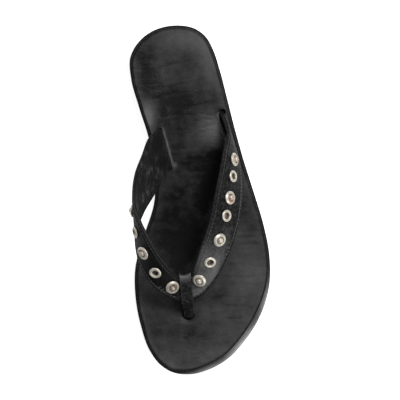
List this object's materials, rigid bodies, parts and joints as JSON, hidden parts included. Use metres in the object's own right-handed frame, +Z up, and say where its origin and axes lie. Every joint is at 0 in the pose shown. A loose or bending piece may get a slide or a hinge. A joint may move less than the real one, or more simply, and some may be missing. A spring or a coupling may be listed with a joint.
{
  "type": "toe post sandal",
  "caption": "Left leather toe post sandal: arched sole with low heel, insole, strap upper in a V with metal studs and eyelets, looped toe post.",
  "frame": {"origin": "centre of the sandal's box in plan, on the floor", "axes": "+Z up, +Y toward the heel, +X toward the outer side of the foot"},
  "size_m": [0.101, 0.256, 0.0538],
  "materials": {
    "sole": "black satin sole edge",
    "footbed": "dark charcoal smooth leather",
    "strap": "black satin leather",
    "metal": "bright nickel plate"
  },
  "bodies": {
    "root": {"outsole": "sole", "insole": "footbed", "strap_upper": "strap", "toe_post": "strap", "stud_lateral_1": "metal", "stud_lateral_2": "metal", "stud_lateral_3": "metal", "stud_lateral_4": "metal", "stud_medial_1": "metal", "stud_medial_2": "metal", "stud_medial_3": "metal", "stud_medial_4": "metal", "eyelet_lateral_1": "metal", "eyelet_lateral_2": "metal", "eyelet_lateral_3": "metal", "eyelet_medial_1": "metal", "eyelet_medial_2": "metal", "eyelet_medial_3": "metal"}
  },
  "joints": []
}
